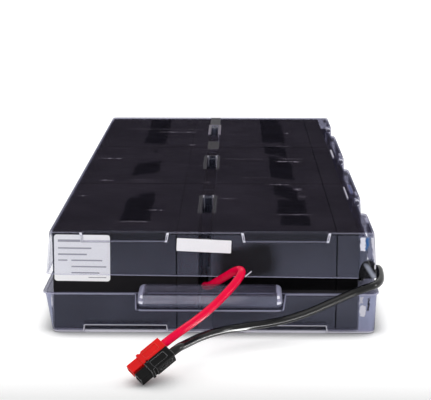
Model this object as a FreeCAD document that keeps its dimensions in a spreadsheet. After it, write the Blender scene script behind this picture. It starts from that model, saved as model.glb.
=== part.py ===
import FreeCAD, Part
import Sketcher
import math
import os
import re

# UPS battery cartridge: six sealed 12 V batteries lie on their sides in two
# columns of three, between a clear thermoformed tray and a clear thermoformed
# lid.  A red and a black lead end in a pair of single-pole connectors.
# Frame: +X right, +Y back, +Z up, origin at the middle of the footprint of the
# tray with its pull tab, on the floor.  Millimetres.

doc = FreeCAD.newDocument("BatteryCartridge")
sheet = doc.addObject("Spreadsheet::Sheet", "Sizes")

DIMENSIONS = (
    # one battery, lying on its long side: covers and terminals face +X
    ("BatteryLength", 151),
    ("BatteryThickness", 65),
    ("ContainerHeight", 80),
    ("CoverHeight", 14),
    ("CaseRadius", 2.2),
    ("SeamChamfer", 0.4),
    ("WellDepth", 4),
    ("WellLength", 17),
    ("WellWidth", 18),
    ("TerminalInset", 12.5),
    ("TerminalDrop", 12),
    ("VentStripWidth", 24),
    ("VentStripThick", 1.8),
    ("VentStripMargin", 24),
    ("VentRecess", 1.2),
    # tabs and the insulated flag connectors pushed on them
    ("TabWidth", 6.35),
    ("TabThick", 0.8),
    ("TabLength", 9.9),
    ("TabClearance", 0.05),
    ("FlagStart", 2.2),
    ("FlagLength", 8.8),
    ("FlagWidth", 9.2),
    ("FlagThick", 4.8),
    ("FlagBarrelRadius", 3.3),
    ("FlagBarrelLength", 9),
    ("JumperDiameter", 4.2),
    ("JumperDrop", 4),
    # how the six batteries stand together
    ("RowGap", 1),
    ("ChannelWidth", 8.8),
    # clear sheet, tray and lid
    ("Wall", 1),
    ("RibHeight", 0.6),
    ("TrayHeight", 28.3),
    ("FootLeft", 1.2),
    ("FootRight", 11.7),
    ("FootEnds", 2.4),
    ("RimReachLeft", 6.2),
    ("RimReachRight", 13.4),
    ("RimReachEnds", 8),
    ("RimLip", 1.2),
    ("RimRadius", 5.5),
    ("FoldRadius", 1.6),
    ("LidGap", 0.1),
    ("LidTopLeft", 1.6),
    ("LidTopRight", 9.8),
    ("LidTopEnds", 2.6),
    ("LidEdgeLeft", 4.2),
    ("LidEdgeRight", 11.8),
    ("LidEdgeEnds", 4.6),
    ("LidTrimLeft", 39.6),
    ("LidTrimRight", 37.6),
    ("LidRadius", 4),
    # stacking lands at the front edges of tray and lid
    ("LandWidth", 53),
    ("LandPitch", 103.5),
    ("LandSlant", 1.5),
    ("LandClearance", 0.1),
    ("LidLandHeight", 6.4),
    ("TrayLandHeight", 5.2),
    # notches in the lid's terminal side, and pockets over the centre channel
    ("NotchLength", 58),
    ("NotchDepth", 4.4),
    ("NotchHeight", 19),
    ("NotchSlant", 5),
    ("DimpleRadius", 2.2),
    ("DimpleInset", 1.9),
    ("DimpleDrop", 3.6),
    ("DimpleStart", 22),
    ("PocketLength", 55),
    ("PocketOffset", 3),
    ("PocketDepth", 15),
    ("PocketClearance", 0.2),
    # pull tab with its raised boss
    ("TabReach", 43),
    ("TabRootWidth", 97),
    ("TabFrontWidth", 91.5),
    ("TabCornerRadius", 5),
    ("BossWidth", 91),
    ("BossFront", 36),
    ("BossHeight", 6.8),
    ("BossDraft", 1.8),
    ("BossEndDraft", 0.6),
    ("BossRadius", 6),
    # leads and the pair of connectors
    ("LeadDiameter", 5.2),
    ("PlugSide", 7.9),
    ("PlugLength", 24.6),
    ("HoodLength", 7.9),
    ("HoodInset", 0.8),
    ("HoodDrop", 1.3),
    ("HoodRise", 0.7),
    ("PanelDepth", 0.45),
    ("GrooveDepth", 0.6),
    ("MouthWidth", 5.4),
    ("MouthHeight", 3.4),
    ("MouthDepth", 7),
    ("WireHoleRadius", 2.8),
    ("CrimpRadius", 2.3),
    ("CrimpDepth", 6),
    ("CrimpLength", 5.6),
    ("BladeWidth", 4.6),
    ("BladeThick", 1),
    ("RollPinRadius", 1),
    ("RollPinLength", 5),
    ("RollPinStart", 10.4),
    ("PlugYaw", -60),
    ("PlugPitch", 31),
    ("PlugRoll", 29),
)

ROWS = 3

DERIVED = (
    ("BatteryHeight", "=ContainerHeight + CoverHeight"),
    ("RowPitch", "=BatteryLength + RowGap"),
    ("ColumnPitch", "=BatteryHeight + ChannelWidth"),
    ("ArrayWidth", "=2 * BatteryHeight + ChannelWidth"),
    ("ArrayDepth", f"={ROWS} * BatteryLength + {ROWS - 1} * RowGap"),
    ("ArrayLeft", "=(RimReachLeft - RimReachRight - ArrayWidth) / 2"),
    ("ArrayRight", "=ArrayLeft + ArrayWidth"),
    ("ArrayFront", "=(TabReach - RimReachEnds - ArrayDepth) / 2"),
    ("ArrayBack", "=ArrayFront + ArrayDepth"),
    ("ArrayMiddle", "=ArrayLeft + ArrayWidth / 2"),
    ("ChannelMiddle", "=ArrayLeft + BatteryHeight + ChannelWidth / 2"),
    ("BatteryBottom", "=Wall + RibHeight"),
    ("LidTop", "=BatteryBottom + BatteryThickness + LidGap + Wall"),
    ("RimBottom", "=TrayHeight - Wall"),
    ("TerminalHeight", "=BatteryThickness - TerminalDrop"),
    ("BarrelEnd", "=BatteryBottom + TerminalHeight - FlagWidth / 2 - FlagBarrelLength"),
    ("BarrelReach", "=BatteryHeight - WellDepth + FlagStart + FlagLength - FlagBarrelRadius"),
)

for row, (alias, size) in enumerate(DIMENSIONS + DERIVED, start=1):
    sheet.set(f"A{row}", alias)
    sheet.set(f"B{row}", str(size))
    sheet.setAlias(f"B{row}", alias)
doc.recompute()


def size_of(alias):
    """The value of one cell of the sheet."""
    return float(sheet.get(alias))


def cell(text):
    """Turns the aliases in a formula into references to the sheet."""
    return re.sub(r"[A-Za-z]\w*", lambda word: f"Sizes.{word.group(0)}", text)


def bind(thing, prop, formula):
    """Binds a property or a named constraint to a formula on the sheet."""
    thing.setExpression(prop, cell(formula))


def number(formula):
    """The present value of a formula on the sheet."""
    return float(sheet.evalExpression(formula))


# ---------------------------------------------------------------- sketching

def new_body(name):
    body = doc.addObject("PartDesign::Body", name)
    body.Label = name
    return body


def new_sketch(body, name, plane, height="0"):
    """A sketch on one of the body's own origin planes, raised by height."""
    sketch = body.newObject("Sketcher::SketchObject", name)
    for datum in body.Origin.OriginFeatures:
        if datum.Role == plane:
            sketch.AttachmentSupport = [(datum, "")]
    sketch.MapMode = "FlatFace"
    if height != "0":
        bind(sketch, "AttachmentOffset.Base.z", height)
    return sketch


def constrain(sketch, kind, name, formula, *where):
    """Adds a driving dimension and binds it to the sheet."""
    index = sketch.addConstraint(Sketcher.Constraint(kind, *where, number(formula)))
    sketch.renameConstraint(index, name)
    bind(sketch, f"Constraints.{name}", formula)


def point(x, y):
    return FreeCAD.Vector(x, y, 0)


def draw_polygon(sketch, corners, prefix="Corner"):
    """A closed outline whose corners are pairs of formulas."""
    spots = [point(number(x), number(y)) for x, y in corners]
    count = len(spots)
    first = sketch.GeometryCount
    for i in range(count):
        sketch.addGeometry(Part.LineSegment(spots[i], spots[(i + 1) % count]))
    for i in range(count):
        following = first + (i + 1) % count
        sketch.addConstraint(Sketcher.Constraint("Coincident", first + i, 2, following, 1))
    for i, (x, y) in enumerate(corners):
        constrain(sketch, "DistanceX", f"{prefix}{i}X", x, -1, 1, first + i, 1)
        constrain(sketch, "DistanceY", f"{prefix}{i}Y", y, -1, 1, first + i, 1)


def draw_rounded(sketch, left, right, low, high, radius, prefix="Box"):
    """A rectangle with four equal rounded corners."""
    x0, x1, y0, y1, r = (number(f) for f in (left, right, low, high, radius))
    centres = ((x1 - r, y0 + r), (x1 - r, y1 - r), (x0 + r, y1 - r), (x0 + r, y0 + r))
    starts = ((x0 + r, y0), (x1, y0 + r), (x1 - r, y1), (x0, y1 - r))
    ends = ((x1 - r, y0), (x1, y1 - r), (x0 + r, y1), (x0, y0 + r))
    first = sketch.GeometryCount
    for i in range(4):
        turn = math.radians(270 + 90 * i)
        circle = Part.Circle(point(*centres[i]), FreeCAD.Vector(0, 0, 1), r)
        sketch.addGeometry(Part.LineSegment(point(*starts[i]), point(*ends[i])))
        sketch.addGeometry(Part.ArcOfCircle(circle, turn, turn + math.pi / 2))
    for i in range(4):
        line = first + 2 * i
        arc = line + 1
        following = first + (2 * i + 2) % 8
        sketch.addConstraint(Sketcher.Constraint("Tangent", line, 2, arc, 1))
        sketch.addConstraint(Sketcher.Constraint("Tangent", arc, 2, following, 1))
        sketch.addConstraint(Sketcher.Constraint("Vertical" if i % 2 else "Horizontal", line))
    for i in range(1, 4):
        sketch.addConstraint(Sketcher.Constraint("Equal", first + 1, first + 1 + 2 * i))
    constrain(sketch, "DistanceY", f"{prefix}Low", low, -1, 1, first, 1)
    constrain(sketch, "DistanceX", f"{prefix}Right", right, -1, 1, first + 2, 1)
    constrain(sketch, "DistanceY", f"{prefix}High", high, -1, 1, first + 4, 1)
    constrain(sketch, "DistanceX", f"{prefix}Left", left, -1, 1, first + 6, 1)
    constrain(sketch, "Radius", f"{prefix}Radius", radius, first + 1)


def draw_circle(sketch, x, y, radius, prefix="Circle"):
    spot = point(number(x), number(y))
    index = sketch.addGeometry(Part.Circle(spot, FreeCAD.Vector(0, 0, 1), number(radius)))
    constrain(sketch, "DistanceX", f"{prefix}X", x, -1, 1, index, 3)
    constrain(sketch, "DistanceY", f"{prefix}Y", y, -1, 1, index, 3)
    constrain(sketch, "Radius", f"{prefix}Radius", radius, index)


# ----------------------------------------------------------------- features

def add_pad(body, name, sketch, length, reversed_side=False):
    pad = body.newObject("PartDesign::Pad", name)
    pad.Profile = sketch
    bind(pad, "Length", length)
    pad.Reversed = reversed_side
    return pad


def add_pocket(body, name, sketch, length, reversed_side=False):
    """Cuts against the sketch's normal, or along it when reversed."""
    pocket = body.newObject("PartDesign::Pocket", name)
    pocket.Profile = sketch
    bind(pocket, "Length", length)
    pocket.Reversed = reversed_side
    return pocket


def add_block(body, name, low, high):
    """A block with drafted sides between two level rectangles, each given as
    formulas for its left, right, front and back sides and its height."""
    block = body.newObject("PartDesign::AdditiveWedge", name)
    for datum in body.Origin.OriginFeatures:
        if datum.Role == "YZ_Plane":
            block.AttachmentSupport = [(datum, "")]
    block.MapMode = "FlatFace"
    left, right, front, back, height = low
    bind(block, "Zmin", left)
    bind(block, "Zmax", right)
    bind(block, "Xmin", front)
    bind(block, "Xmax", back)
    bind(block, "Ymin", height)
    left, right, front, back, height = high
    bind(block, "Z2min", left)
    bind(block, "Z2max", right)
    bind(block, "X2min", front)
    bind(block, "X2max", back)
    bind(block, "Ymax", height)
    return block


def add_pattern(body, name, feature, role, length, count):
    """Repeats a feature along one of the body's own origin axes."""
    pattern = body.newObject("PartDesign::LinearPattern", name)
    pattern.Originals = [feature]
    for datum in body.Origin.OriginFeatures:
        if datum.Role == role:
            pattern.Direction = (datum, [""])
    bind(pattern, "Length", length)
    pattern.Occurrences = count
    body.Tip = pattern
    return pattern


def edges_where(shape, test):
    """Names of the edges whose two ends pass the test."""
    names = []
    for i, edge in enumerate(shape.Edges, start=1):
        if test(edge.Vertexes[0].Point, edge.Vertexes[-1].Point):
            names.append(f"Edge{i}")
    return names


def add_dressing(body, kind, name, base, prop, formula, test):
    """A fillet or chamfer on the base feature's edges that pass the test."""
    doc.recompute()
    dressing = body.newObject(f"PartDesign::{kind}", name)
    dressing.Base = (base, edges_where(base.Shape, test))
    bind(dressing, prop, formula)
    return dressing


def near(a, b):
    return abs(a - b) < 1e-4


def slanted(a, b):
    """For the corner edges of a drafted block."""
    return abs(a.z - b.z) > 1


def level_at(height):
    """For the edges that lie at one height."""
    return lambda a, b: near(a.z, height) and near(b.z, height)


def across_at(*reaches):
    """For the edges that lie across X at one of the given places."""
    return lambda a, b: near(a.x, b.x) and any(near(a.x, reach) for reach in reaches)


# --------------------------------------------------------------- thermoforms

def land_outline(sketch, middle, front, depth, grow, prefix):
    """A stacking land: a slot open to the front with slanted ends."""
    half = f"LandWidth / 2 + {grow}"
    wide = f"LandWidth / 2 + LandSlant + {grow}"
    draw_polygon(sketch, (
        (f"{middle} - ({wide})", front),
        (f"{middle} + {wide}", front),
        (f"{middle} + {half}", depth),
        (f"{middle} - ({half})", depth),
    ), prefix)


def land_pair(sketch, grow):
    front = "ArrayFront - 3 * RimReachEnds"
    depth = f"ArrayFront - LandClearance - Wall + {grow}"
    land_outline(sketch, "ArrayMiddle - LandPitch / 2", front, depth, grow, "Left")
    land_outline(sketch, "ArrayMiddle + LandPitch / 2", front, depth, grow, "Right")


def tray_form(name, grow):
    """The block that the tray is drawn over (grow = 0), or its cavity
    (grow = Wall), from the floor to the rim."""
    body = new_body(name)
    foot = (f"ArrayLeft - FootLeft + {grow}", f"ArrayRight + FootRight - {grow}",
            f"ArrayFront - FootEnds + {grow}", f"ArrayBack + FootEnds - {grow}", grow)
    rim = (f"ArrayLeft - RimReachLeft + RimLip + {grow}",
           f"ArrayRight + RimReachRight - RimLip - {grow}",
           f"ArrayFront - RimReachEnds + RimLip + {grow}",
           f"ArrayBack + RimReachEnds - RimLip - {grow}", "TrayHeight")
    block = add_block(body, f"{name}_block", foot, rim)
    corners = add_dressing(body, "Fillet", f"{name}_corners", block, "Radius",
                           f"RimRadius - {grow}", slanted)
    bottom = number(grow)
    add_dressing(body, "Fillet", f"{name}_fold", corners, "Radius", f"FoldRadius - {grow} / 2",
                 level_at(bottom))

    lands = new_sketch(body, f"{name}_lands", "XY_Plane", f"TrayLandHeight + {grow}")
    land_pair(lands, grow)
    add_pocket(body, f"{name}_land_cut", lands, "2 * TrayLandHeight")

    ribs = new_sketch(body, f"{name}_ribs", "XY_Plane", f"RibHeight + {grow}")
    for column in range(2):
        for side in (1, 3):
            x = f"ArrayLeft + {column} * ColumnPitch + {side} * BatteryHeight / 4"
            draw_rounded(ribs, f"{x} - 6 - {grow}", f"{x} + 6 + {grow}",
                         f"ArrayFront + 4 * RimRadius - {grow}",
                         f"ArrayBack - 4 * RimRadius + {grow}", f"4 + {grow}",
                         f"Rib{column}{side}")
    add_pocket(body, f"{name}_rib_cut", ribs, "2 * RibHeight")
    return body


def boss_form(name, grow):
    """The raised boss of the pull tab (grow = 0), or its hollow (grow = Wall)."""
    body = new_body(name)
    add_boss(body, name, grow, "FoldRadius / 2")
    return body


def add_boss(body, name, grow, fold):
    half = f"BossWidth / 2 - {grow}"
    base = (f"-({half})", half, f"ArrayFront - BossFront + {grow}",
            f"ArrayFront - RimReachEnds - {grow}", "RimBottom")
    half = f"BossWidth / 2 - BossEndDraft - {grow}"
    top = (f"-({half})", half, f"ArrayFront - BossFront + BossDraft + {grow}",
           f"ArrayFront - RimReachEnds - {grow}", f"TrayHeight + BossHeight - {grow}")
    boss = add_block(body, f"{name}_boss", base, top)
    front = size_of("ArrayFront") - size_of("RimReachEnds") / 2
    ceiling = number(f"TrayHeight + BossHeight - {grow}")
    corners = add_dressing(
        body, "Fillet", f"{name}_boss_corners", boss, "Radius", f"BossRadius - {grow}",
        lambda a, b: near(max(a.z, b.z), ceiling) and not near(a.z, b.z) and a.y < front)
    return add_dressing(body, "Fillet", f"{name}_boss_fold", corners, "Radius", fold,
                        level_at(ceiling))


def add_rim_and_tab(body):
    """The flange round the rim, with the pull tab that reaches forward."""
    rim = new_sketch(body, "rim_outline", "XY_Plane", "RimBottom")
    draw_rounded(rim, "ArrayLeft - RimReachLeft", "ArrayRight + RimReachRight",
                 "ArrayFront - RimReachEnds", "ArrayBack + RimReachEnds", "RimRadius + RimLip")
    add_pad(body, "rim_flange", rim, "Wall")
    tab = new_sketch(body, "tab_outline", "XY_Plane", "RimBottom")
    draw_polygon(tab, (
        ("-TabFrontWidth / 2", "ArrayFront - TabReach"),
        ("TabFrontWidth / 2", "ArrayFront - TabReach"),
        ("TabRootWidth / 2", "ArrayFront - RimReachEnds + RimLip / 2"),
        ("-TabRootWidth / 2", "ArrayFront - RimReachEnds + RimLip / 2"),
    ))
    plate = add_pad(body, "tab_plate", tab, "Wall")
    tab_front = size_of("ArrayFront") - size_of("TabReach")
    add_dressing(body, "Fillet", "tab_corners", plate, "Radius", "TabCornerRadius",
                 lambda a, b: near(a.y, tab_front) and near(b.y, tab_front) and near(a.x, b.x))


def lower_tray():
    """The clear tray: its block less the cavity, with the boss hollow below."""
    outer = tray_form("tray_outer", "0")
    add_rim_and_tab(outer)
    add_boss(outer, "tray_outer", "0", "FoldRadius")
    shell = doc.addObject("Part::Cut", "tray_shell")
    shell.Base = outer
    shell.Tool = tray_form("tray_cavity", "Wall")
    tray = doc.addObject("Part::Cut", "lower_tray")
    tray.Base = shell
    tray.Tool = boss_form("boss_hollow", "Wall")
    tray.Label = "lower_tray"
    return tray


def lid_form(name, grow):
    """The block that the lid is drawn over (grow = 0), or its inside
    (grow = Wall), from the trimmed edge to the top."""
    body = new_body(name)
    edge = (f"ArrayLeft - LidEdgeLeft + {grow}", f"ArrayRight + LidEdgeRight - {grow}",
            f"ArrayFront - LidEdgeEnds + {grow}", f"ArrayBack + LidEdgeEnds - {grow}",
            "LidTrimRight")
    top = (f"ArrayLeft - LidTopLeft + {grow}", f"ArrayRight + LidTopRight - {grow}",
           f"ArrayFront - LidTopEnds + {grow}", f"ArrayBack + LidTopEnds - {grow}",
           f"LidTop - {grow}")
    block = add_block(body, f"{name}_block", edge, top)
    corners = add_dressing(body, "Fillet", f"{name}_corners", block, "Radius",
                           f"LidRadius - {grow}", slanted)
    ceiling = number(f"LidTop - {grow}")
    add_dressing(body, "Fillet", f"{name}_fold", corners, "Radius", f"FoldRadius - {grow} / 2",
                 level_at(ceiling))

    lands = new_sketch(body, f"{name}_lands", "XY_Plane", f"LidTop - LidLandHeight - {grow}")
    land_pair(lands, grow)
    add_pocket(body, f"{name}_land_cut", lands, "2 * LidLandHeight", reversed_side=True)

    middle = "ArrayFront + BatteryLength / 2"
    floor = f"LidTop - NotchHeight - {grow}"
    notch = new_sketch(body, f"{name}_notch", "XY_Plane", floor)
    inside = f"ArrayRight + LidTopRight - NotchDepth - {grow}"
    outside = "ArrayRight + 2 * LidEdgeRight"
    short = f"NotchLength / 2 - NotchSlant + {grow}"
    wide = f"NotchLength / 2 + NotchSlant + {grow}"
    draw_polygon(notch, (
        (inside, f"{middle} - ({short})"),
        (outside, f"{middle} - ({wide})"),
        (outside, f"{middle} + {wide}"),
        (inside, f"{middle} + {short}"),
    ))
    cut = add_pocket(body, f"{name}_notch_cut", notch, "2 * NotchHeight", reversed_side=True)
    add_pattern(body, f"{name}_notches", cut, "Y_Axis", f"{ROWS - 1} * RowPitch", ROWS)

    # a round dimple stands out of each notch's rear end
    round_end = new_sketch(body, f"{name}_dimple", "XZ_Plane",
                           f"-({middle} + DimpleStart + {grow})")
    draw_circle(round_end, "ArrayRight + LidTopRight - NotchDepth + DimpleInset",
                "LidTop - DimpleDrop", f"DimpleRadius - {grow} / 2")
    stud = add_pad(body, f"{name}_dimple_pad", round_end,
                   "NotchLength / 2 + NotchSlant + Wall - DimpleStart", reversed_side=True)
    add_pattern(body, f"{name}_dimples", stud, "Y_Axis", f"{ROWS - 1} * RowPitch", ROWS)

    slot = new_sketch(body, f"{name}_pocket", "XY_Plane", f"LidTop - PocketDepth - {grow}")
    half = f"ChannelWidth / 2 - PocketClearance - Wall + {grow}"
    draw_rounded(slot, f"ChannelMiddle - ({half})", f"ChannelMiddle + {half}",
                 f"{middle} + PocketOffset - PocketLength / 2 - {grow}",
                 f"{middle} + PocketOffset + PocketLength / 2 + {grow}", f"1 + {grow}")
    dip = add_pocket(body, f"{name}_pocket_cut", slot, "2 * PocketDepth", reversed_side=True)
    add_pattern(body, f"{name}_pockets", dip, "Y_Axis", f"{ROWS - 1} * RowPitch", ROWS)

    trim = new_sketch(body, f"{name}_trim", "XZ_Plane")
    draw_polygon(trim, (
        ("ArrayLeft - 3 * LidEdgeRight", "LidTrimRight - 20"),
        ("ArrayRight + LidEdgeRight", "LidTrimRight - 20"),
        ("ArrayRight + LidEdgeRight", "LidTrimRight"),
        ("ArrayLeft - LidEdgeLeft", "LidTrimLeft"),
        ("ArrayLeft - 3 * LidEdgeRight", "LidTrimLeft"),
    ))
    cut = add_pocket(body, f"{name}_trim_cut", trim, "3 * ArrayDepth")
    cut.Midplane = True
    return body


def upper_lid():
    """The clear lid: its block less the inside."""
    lid = doc.addObject("Part::Cut", "upper_lid")
    lid.Base = lid_form("lid_outer", "0")
    lid.Tool = lid_form("lid_inside", "Wall")
    lid.Label = "upper_lid"
    return lid


# ---------------------------------------------------------------- batteries

def place(thing, x, y, z):
    bind(thing, "Placement.Base.x", x)
    bind(thing, "Placement.Base.y", y)
    bind(thing, "Placement.Base.z", z)


def battery_section(sketch, inset="0"):
    draw_rounded(sketch, inset, f"BatteryLength - {inset}", inset,
                 f"BatteryThickness - {inset}", f"CaseRadius - {inset}")


def battery_case(label):
    """The container: a rounded box with a folded bottom and a seam chamfer."""
    body = new_body(label)
    section = new_sketch(body, f"{label}_section", "YZ_Plane")
    battery_section(section)
    block = add_pad(body, f"{label}_block", section, "ContainerHeight")
    add_dressing(body, "Fillet", f"{label}_bottom", block, "Radius", "CaseRadius / 2",
                 across_at(0))
    add_dressing(body, "Chamfer", f"{label}_seam", body.Tip, "Size", "SeamChamfer",
                 across_at(size_of("ContainerHeight")))
    return body


def battery_cover(label):
    """The welded cover, with a terminal well at each end and a vent recess."""
    body = new_body(label)
    section = new_sketch(body, f"{label}_section", "YZ_Plane", "ContainerHeight")
    battery_section(section)
    block = add_pad(body, f"{label}_block", section, "CoverHeight")
    add_dressing(body, "Chamfer", f"{label}_edges", block, "Size", "SeamChamfer",
                 across_at(size_of("ContainerHeight"), size_of("BatteryHeight")))
    wells = new_sketch(body, f"{label}_wells", "YZ_Plane", "BatteryHeight")
    for name, middle in (("Near", "TerminalInset"), ("Far", "BatteryLength - TerminalInset")):
        draw_rounded(wells, f"{middle} - WellLength / 2", f"{middle} + WellLength / 2",
                     "TerminalHeight - WellWidth / 2", "TerminalHeight + WellWidth / 2", "2", name)
    add_pocket(body, f"{label}_well_cut", wells, "WellDepth")
    recess = new_sketch(body, f"{label}_recess", "YZ_Plane", "BatteryHeight")
    draw_rounded(recess, "VentStripMargin", "BatteryLength - VentStripMargin",
                 "TerminalHeight - WellWidth / 2 - 2 - VentStripWidth",
                 "TerminalHeight - WellWidth / 2 - 2", "3")
    add_pocket(body, f"{label}_recess_cut", recess, "VentRecess")
    return body


def vent_strip(label):
    """The strip welded over the six vent valves."""
    body = new_body(label)
    outline = new_sketch(body, f"{label}_outline", "YZ_Plane", "BatteryHeight - VentRecess")
    draw_rounded(outline, "VentStripMargin + 0.3", "BatteryLength - VentStripMargin - 0.3",
                 "TerminalHeight - WellWidth / 2 - 2 - VentStripWidth + 0.3",
                 "TerminalHeight - WellWidth / 2 - 2 - 0.3", "2.7")
    plate = add_pad(body, f"{label}_plate", outline, "VentStripThick")
    add_dressing(body, "Chamfer", f"{label}_edge", plate, "Size", "VentRecess / 3",
                 across_at(number("BatteryHeight - VentRecess + VentStripThick")))
    return body


def terminals(label):
    """The pair of push-on tabs, standing out of their wells."""
    body = new_body(label)
    body.AllowCompound = True
    tab = new_sketch(body, f"{label}_tab", "XZ_Plane", "-TerminalInset - TabThick / 2")
    foot = "BatteryHeight - WellDepth"
    tip = "BatteryHeight - WellDepth + TabLength"
    low = "TerminalHeight - TabWidth / 2"
    high = "TerminalHeight + TabWidth / 2"
    draw_polygon(tab, (
        (foot, low), (f"{tip} - 1", low), (tip, f"{low} + 1"),
        (tip, f"{high} - 1"), (f"{tip} - 1", high), (foot, high),
    ))
    draw_circle(tab, f"{tip} - 4", "TerminalHeight", "0.8")
    blade = add_pad(body, f"{label}_blade", tab, "TabThick")
    add_pattern(body, f"{label}_pair", blade, "Y_Axis", "BatteryLength - 2 * TerminalInset", 2)
    return body


# ------------------------------------------------------------ flags and wires

def flag_connector(label, count=1, role="Y_Axis", pitch="0"):
    """Insulated flag connectors: a sleeve over the tab, a barrel hanging down."""
    body = new_body(label)
    body.AllowCompound = True
    start = "BatteryHeight - WellDepth + FlagStart"
    sleeve = new_sketch(body, f"{label}_sleeve", "YZ_Plane", start)
    draw_rounded(sleeve, "-FlagThick / 2", "FlagThick / 2", "TerminalHeight - FlagWidth / 2",
                 "TerminalHeight + FlagWidth / 2", "1")
    sleeve_pad = add_pad(body, f"{label}_sleeve_pad", sleeve, "FlagLength")
    barrel = new_sketch(body, f"{label}_barrel", "XY_Plane",
                        "TerminalHeight - FlagWidth / 2 - FlagBarrelLength")
    draw_circle(barrel, "BarrelReach", "0", "FlagBarrelRadius")
    barrel_pad = add_pad(body, f"{label}_barrel_pad", barrel, "FlagBarrelLength + FlagBarrelRadius")
    slot = new_sketch(body, f"{label}_slot", "YZ_Plane", start)
    draw_polygon(slot, (
        ("-TabThick / 2 - TabClearance", "TerminalHeight - TabWidth / 2 - TabClearance"),
        ("TabThick / 2 + TabClearance", "TerminalHeight - TabWidth / 2 - TabClearance"),
        ("TabThick / 2 + TabClearance", "TerminalHeight + TabWidth / 2 + TabClearance"),
        ("-TabThick / 2 - TabClearance", "TerminalHeight + TabWidth / 2 + TabClearance"),
    ))
    slot_cut = add_pocket(body, f"{label}_slot_cut", slot,
                          "TabLength - FlagStart + 2 * TabClearance", reversed_side=True)
    if count > 1:
        pattern = add_pattern(body, f"{label}_pair", sleeve_pad, role, pitch, count)
        pattern.Originals = [sleeve_pad, barrel_pad, slot_cut]
    return body


def wire_shape(points, diameter):
    """A round wire along straight runs joined by tangent arcs, each with a
    tangent length of 0.45 of the shorter run beside it."""
    edges = []
    start = points[0]
    for before, corner, after in zip(points, points[1:], points[2:]):
        incoming = corner - before
        outgoing = after - corner
        tangent = 0.45 * min(incoming.Length, outgoing.Length)
        turn = incoming.getAngle(outgoing)
        incoming.normalize()
        outgoing.normalize()
        enter = corner - incoming * tangent
        leave = corner + outgoing * tangent
        radius = tangent / math.tan(turn / 2)
        inward = outgoing - incoming
        inward.normalize()
        middle = corner + inward * (radius / math.cos(turn / 2) - radius)
        edges.append(Part.makeLine(start, enter))
        edges.append(Part.Arc(enter, middle, leave).toShape())
        start = leave
        print(f"  arc radius {radius:.1f} mm, {radius / diameter:.1f} diameters")
    edges.append(Part.makeLine(start, points[-1]))
    path = Part.Wire(edges)
    circle = Part.Circle(points[0], points[1] - points[0], diameter / 2)
    tube = path.makePipeShell([Part.Wire(circle.toShape())], True, False)
    expected = math.pi * diameter ** 2 / 4 * path.Length
    print(f"  length {path.Length:.1f} mm, volume / (section x length) {tube.Volume / expected:.4f}")
    return tube


def add_wire(label, points, diameter_alias):
    print(label)
    wire = doc.addObject("Part::Feature", label)
    wire.Label = label
    wire.Shape = wire_shape([FreeCAD.Vector(*spot) for spot in points], size_of(diameter_alias))
    return wire


def row_jumper(label, drop="JumperDrop"):
    """A short wire between two neighbours in a column: down, round and up."""
    body = new_body(label)
    spine = new_sketch(body, f"{label}_spine", "YZ_Plane", "BarrelReach")
    reach = number("RowGap + 2 * TerminalInset")
    top = number("TerminalHeight - FlagWidth / 2 - FlagBarrelLength")
    depth = top - size_of("JumperDrop")
    spine.addGeometry(Part.LineSegment(point(0, top), point(0, depth)))
    bow = Part.Circle(point(reach / 2, depth), FreeCAD.Vector(0, 0, 1), reach / 2)
    spine.addGeometry(Part.ArcOfCircle(bow, math.pi, 2 * math.pi))
    spine.addGeometry(Part.LineSegment(point(reach, depth), point(reach, top)))
    spine.addConstraint(Sketcher.Constraint("Tangent", 0, 2, 1, 1))
    spine.addConstraint(Sketcher.Constraint("Tangent", 1, 2, 2, 1))
    spine.addConstraint(Sketcher.Constraint("Vertical", 0))
    constrain(spine, "DistanceX", "StartX", "0", -1, 1, 0, 1)
    constrain(spine, "DistanceY", "StartY", "TerminalHeight - FlagWidth / 2 - FlagBarrelLength",
              -1, 1, 0, 1)
    constrain(spine, "DistanceY", "EndY", "TerminalHeight - FlagWidth / 2 - FlagBarrelLength",
              -1, 1, 2, 2)
    constrain(spine, "DistanceX", "EndX", "RowGap + 2 * TerminalInset", -1, 1, 2, 2)
    constrain(spine, "DistanceY", "Drop", f"-{drop}", 0, 1, 0, 2)
    section = new_sketch(body, f"{label}_section", "XY_Plane",
                         "TerminalHeight - FlagWidth / 2 - FlagBarrelLength")
    draw_circle(section, "BarrelReach", "0", "JumperDiameter / 2")
    pipe = body.newObject("PartDesign::AdditivePipe", f"{label}_wire")
    pipe.Profile = section
    pipe.Spine = spine
    pipe.Mode = "Standard"
    return body


# --------------------------------------------------------------- connectors

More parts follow.
